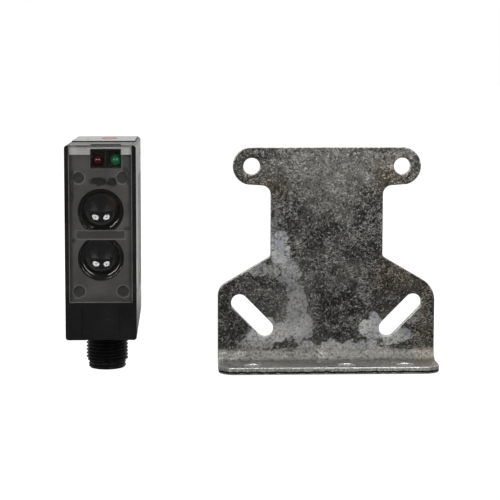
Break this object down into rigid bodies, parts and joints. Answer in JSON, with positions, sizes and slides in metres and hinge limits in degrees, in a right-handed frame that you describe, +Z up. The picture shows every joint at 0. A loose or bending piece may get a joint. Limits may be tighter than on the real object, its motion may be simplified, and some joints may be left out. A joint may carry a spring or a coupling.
{
  "type": "photoelectric sensor",
  "caption": "Compact block-style photoelectric sensor with a smoked window, paired lenses, indicators, an M12 plug and a loose steel angle bracket.",
  "frame": {"origin": "on the axis of the M12 plug, in the plane of the housing's underside, where the thread begins", "axes": "+Z up the housing, so the plug points to -Z; the lenses look to -Y; +X to the right seen from the front, where the bracket stands"},
  "size_m": [0.1035, 0.05, 0.0652],
  "materials": {
    "black_housing": "fine moulded texture, glass-filled black plastic",
    "black_plug": "satin moulded black plastic",
    "black_rubber": "matt",
    "grey_seal": "matt translucent bonding bead",
    "smoked_window": "gloss smoked clear plastic",
    "carrier_grey": "matt moulded grey plastic",
    "barrel_black": "matt black",
    "lens_clear": "polished tinted acrylic",
    "tinned_steel": "bright tin plate",
    "emitter_resin": "clear red epoxy",
    "receiver_resin": "dark infrared epoxy",
    "board_green": "solder mask",
    "diffuser_white": "frosted light guide",
    "lamp_red": "tinted red epoxy",
    "lamp_green": "tinted green epoxy",
    "chip_black": "moulded epoxy",
    "capacitor_sleeve": "shrink sleeve",
    "flex_amber": "polyimide film",
    "pot_blue": "moulded",
    "rotor_ivory": "moulded",
    "insert_black": "moulded",
    "gold_contact": "gold flash",
    "tinned_copper": "tinned wire",
    "nickel_brass": "nickel plate",
    "label_grey": "printed polyester label",
    "zinc_steel": "mottled zinc and clear chromate"
  },
  "bodies": {
    "sensor": {"front_shell": "black_housing", "rear_shell": "black_housing", "shell_seal": "black_rubber", "front_window": "smoked_window", "window_seal": "grey_seal", "optics_carrier": "carrier_grey", "optics_block": "barrel_black", "emitter_lens": "lens_clear", "receiver_lens": "lens_clear", "optical_divider": "tinned_steel", "emitter_diode": "emitter_resin", "receiver_diode": "receiver_resin", "receiver_shield": "tinned_steel", "front_board": "board_green", "light_bar": "diffuser_white", "indicator_shroud": "barrel_black", "indicator_red": "lamp_red", "indicator_green": "lamp_green", "main_board": "board_green", "control_chips": "chip_black", "power_parts": "capacitor_sleeve", "board_link": "flex_amber", "adjuster_board": "board_green", "sensitivity_pot": "pot_blue", "mode_switch": "chip_black", "adjuster_seals": "black_rubber", "plug_shell": "black_plug", "contact_insert": "insert_black", "contact_pins": "gold_contact", "contact_wires": "tinned_copper", "plug_seal": "black_rubber", "mounting_bushes": "nickel_brass", "top_label": "label_grey", "side_label": "label_grey"},
    "sensitivity_rotor": {"sensitivity_screw": "rotor_ivory"},
    "mode_rotor": {"mode_selector": "rotor_ivory"},
    "bracket": {"mounting_bracket": "zinc_steel"}
  },
  "joints": [
    {"name": "sensitivity_turn", "type": "hinge", "parent": "sensor", "child": "sensitivity_rotor", "pos_m": [0, 0.0172, 0.033], "axis": [0, -1, 0], "range_deg": [-135, 135]},
    {"name": "mode_turn", "type": "hinge", "parent": "sensor", "child": "mode_rotor", "pos_m": [0, 0.0172, 0.019], "axis": [0, -1, 0], "range_deg": [0, 90]},
    {"name": "bracket_slide", "type": "slide", "parent": "sensor", "child": "bracket", "axis": [1, 0, 0], "range_m": [0, 0.04]}
  ]
}
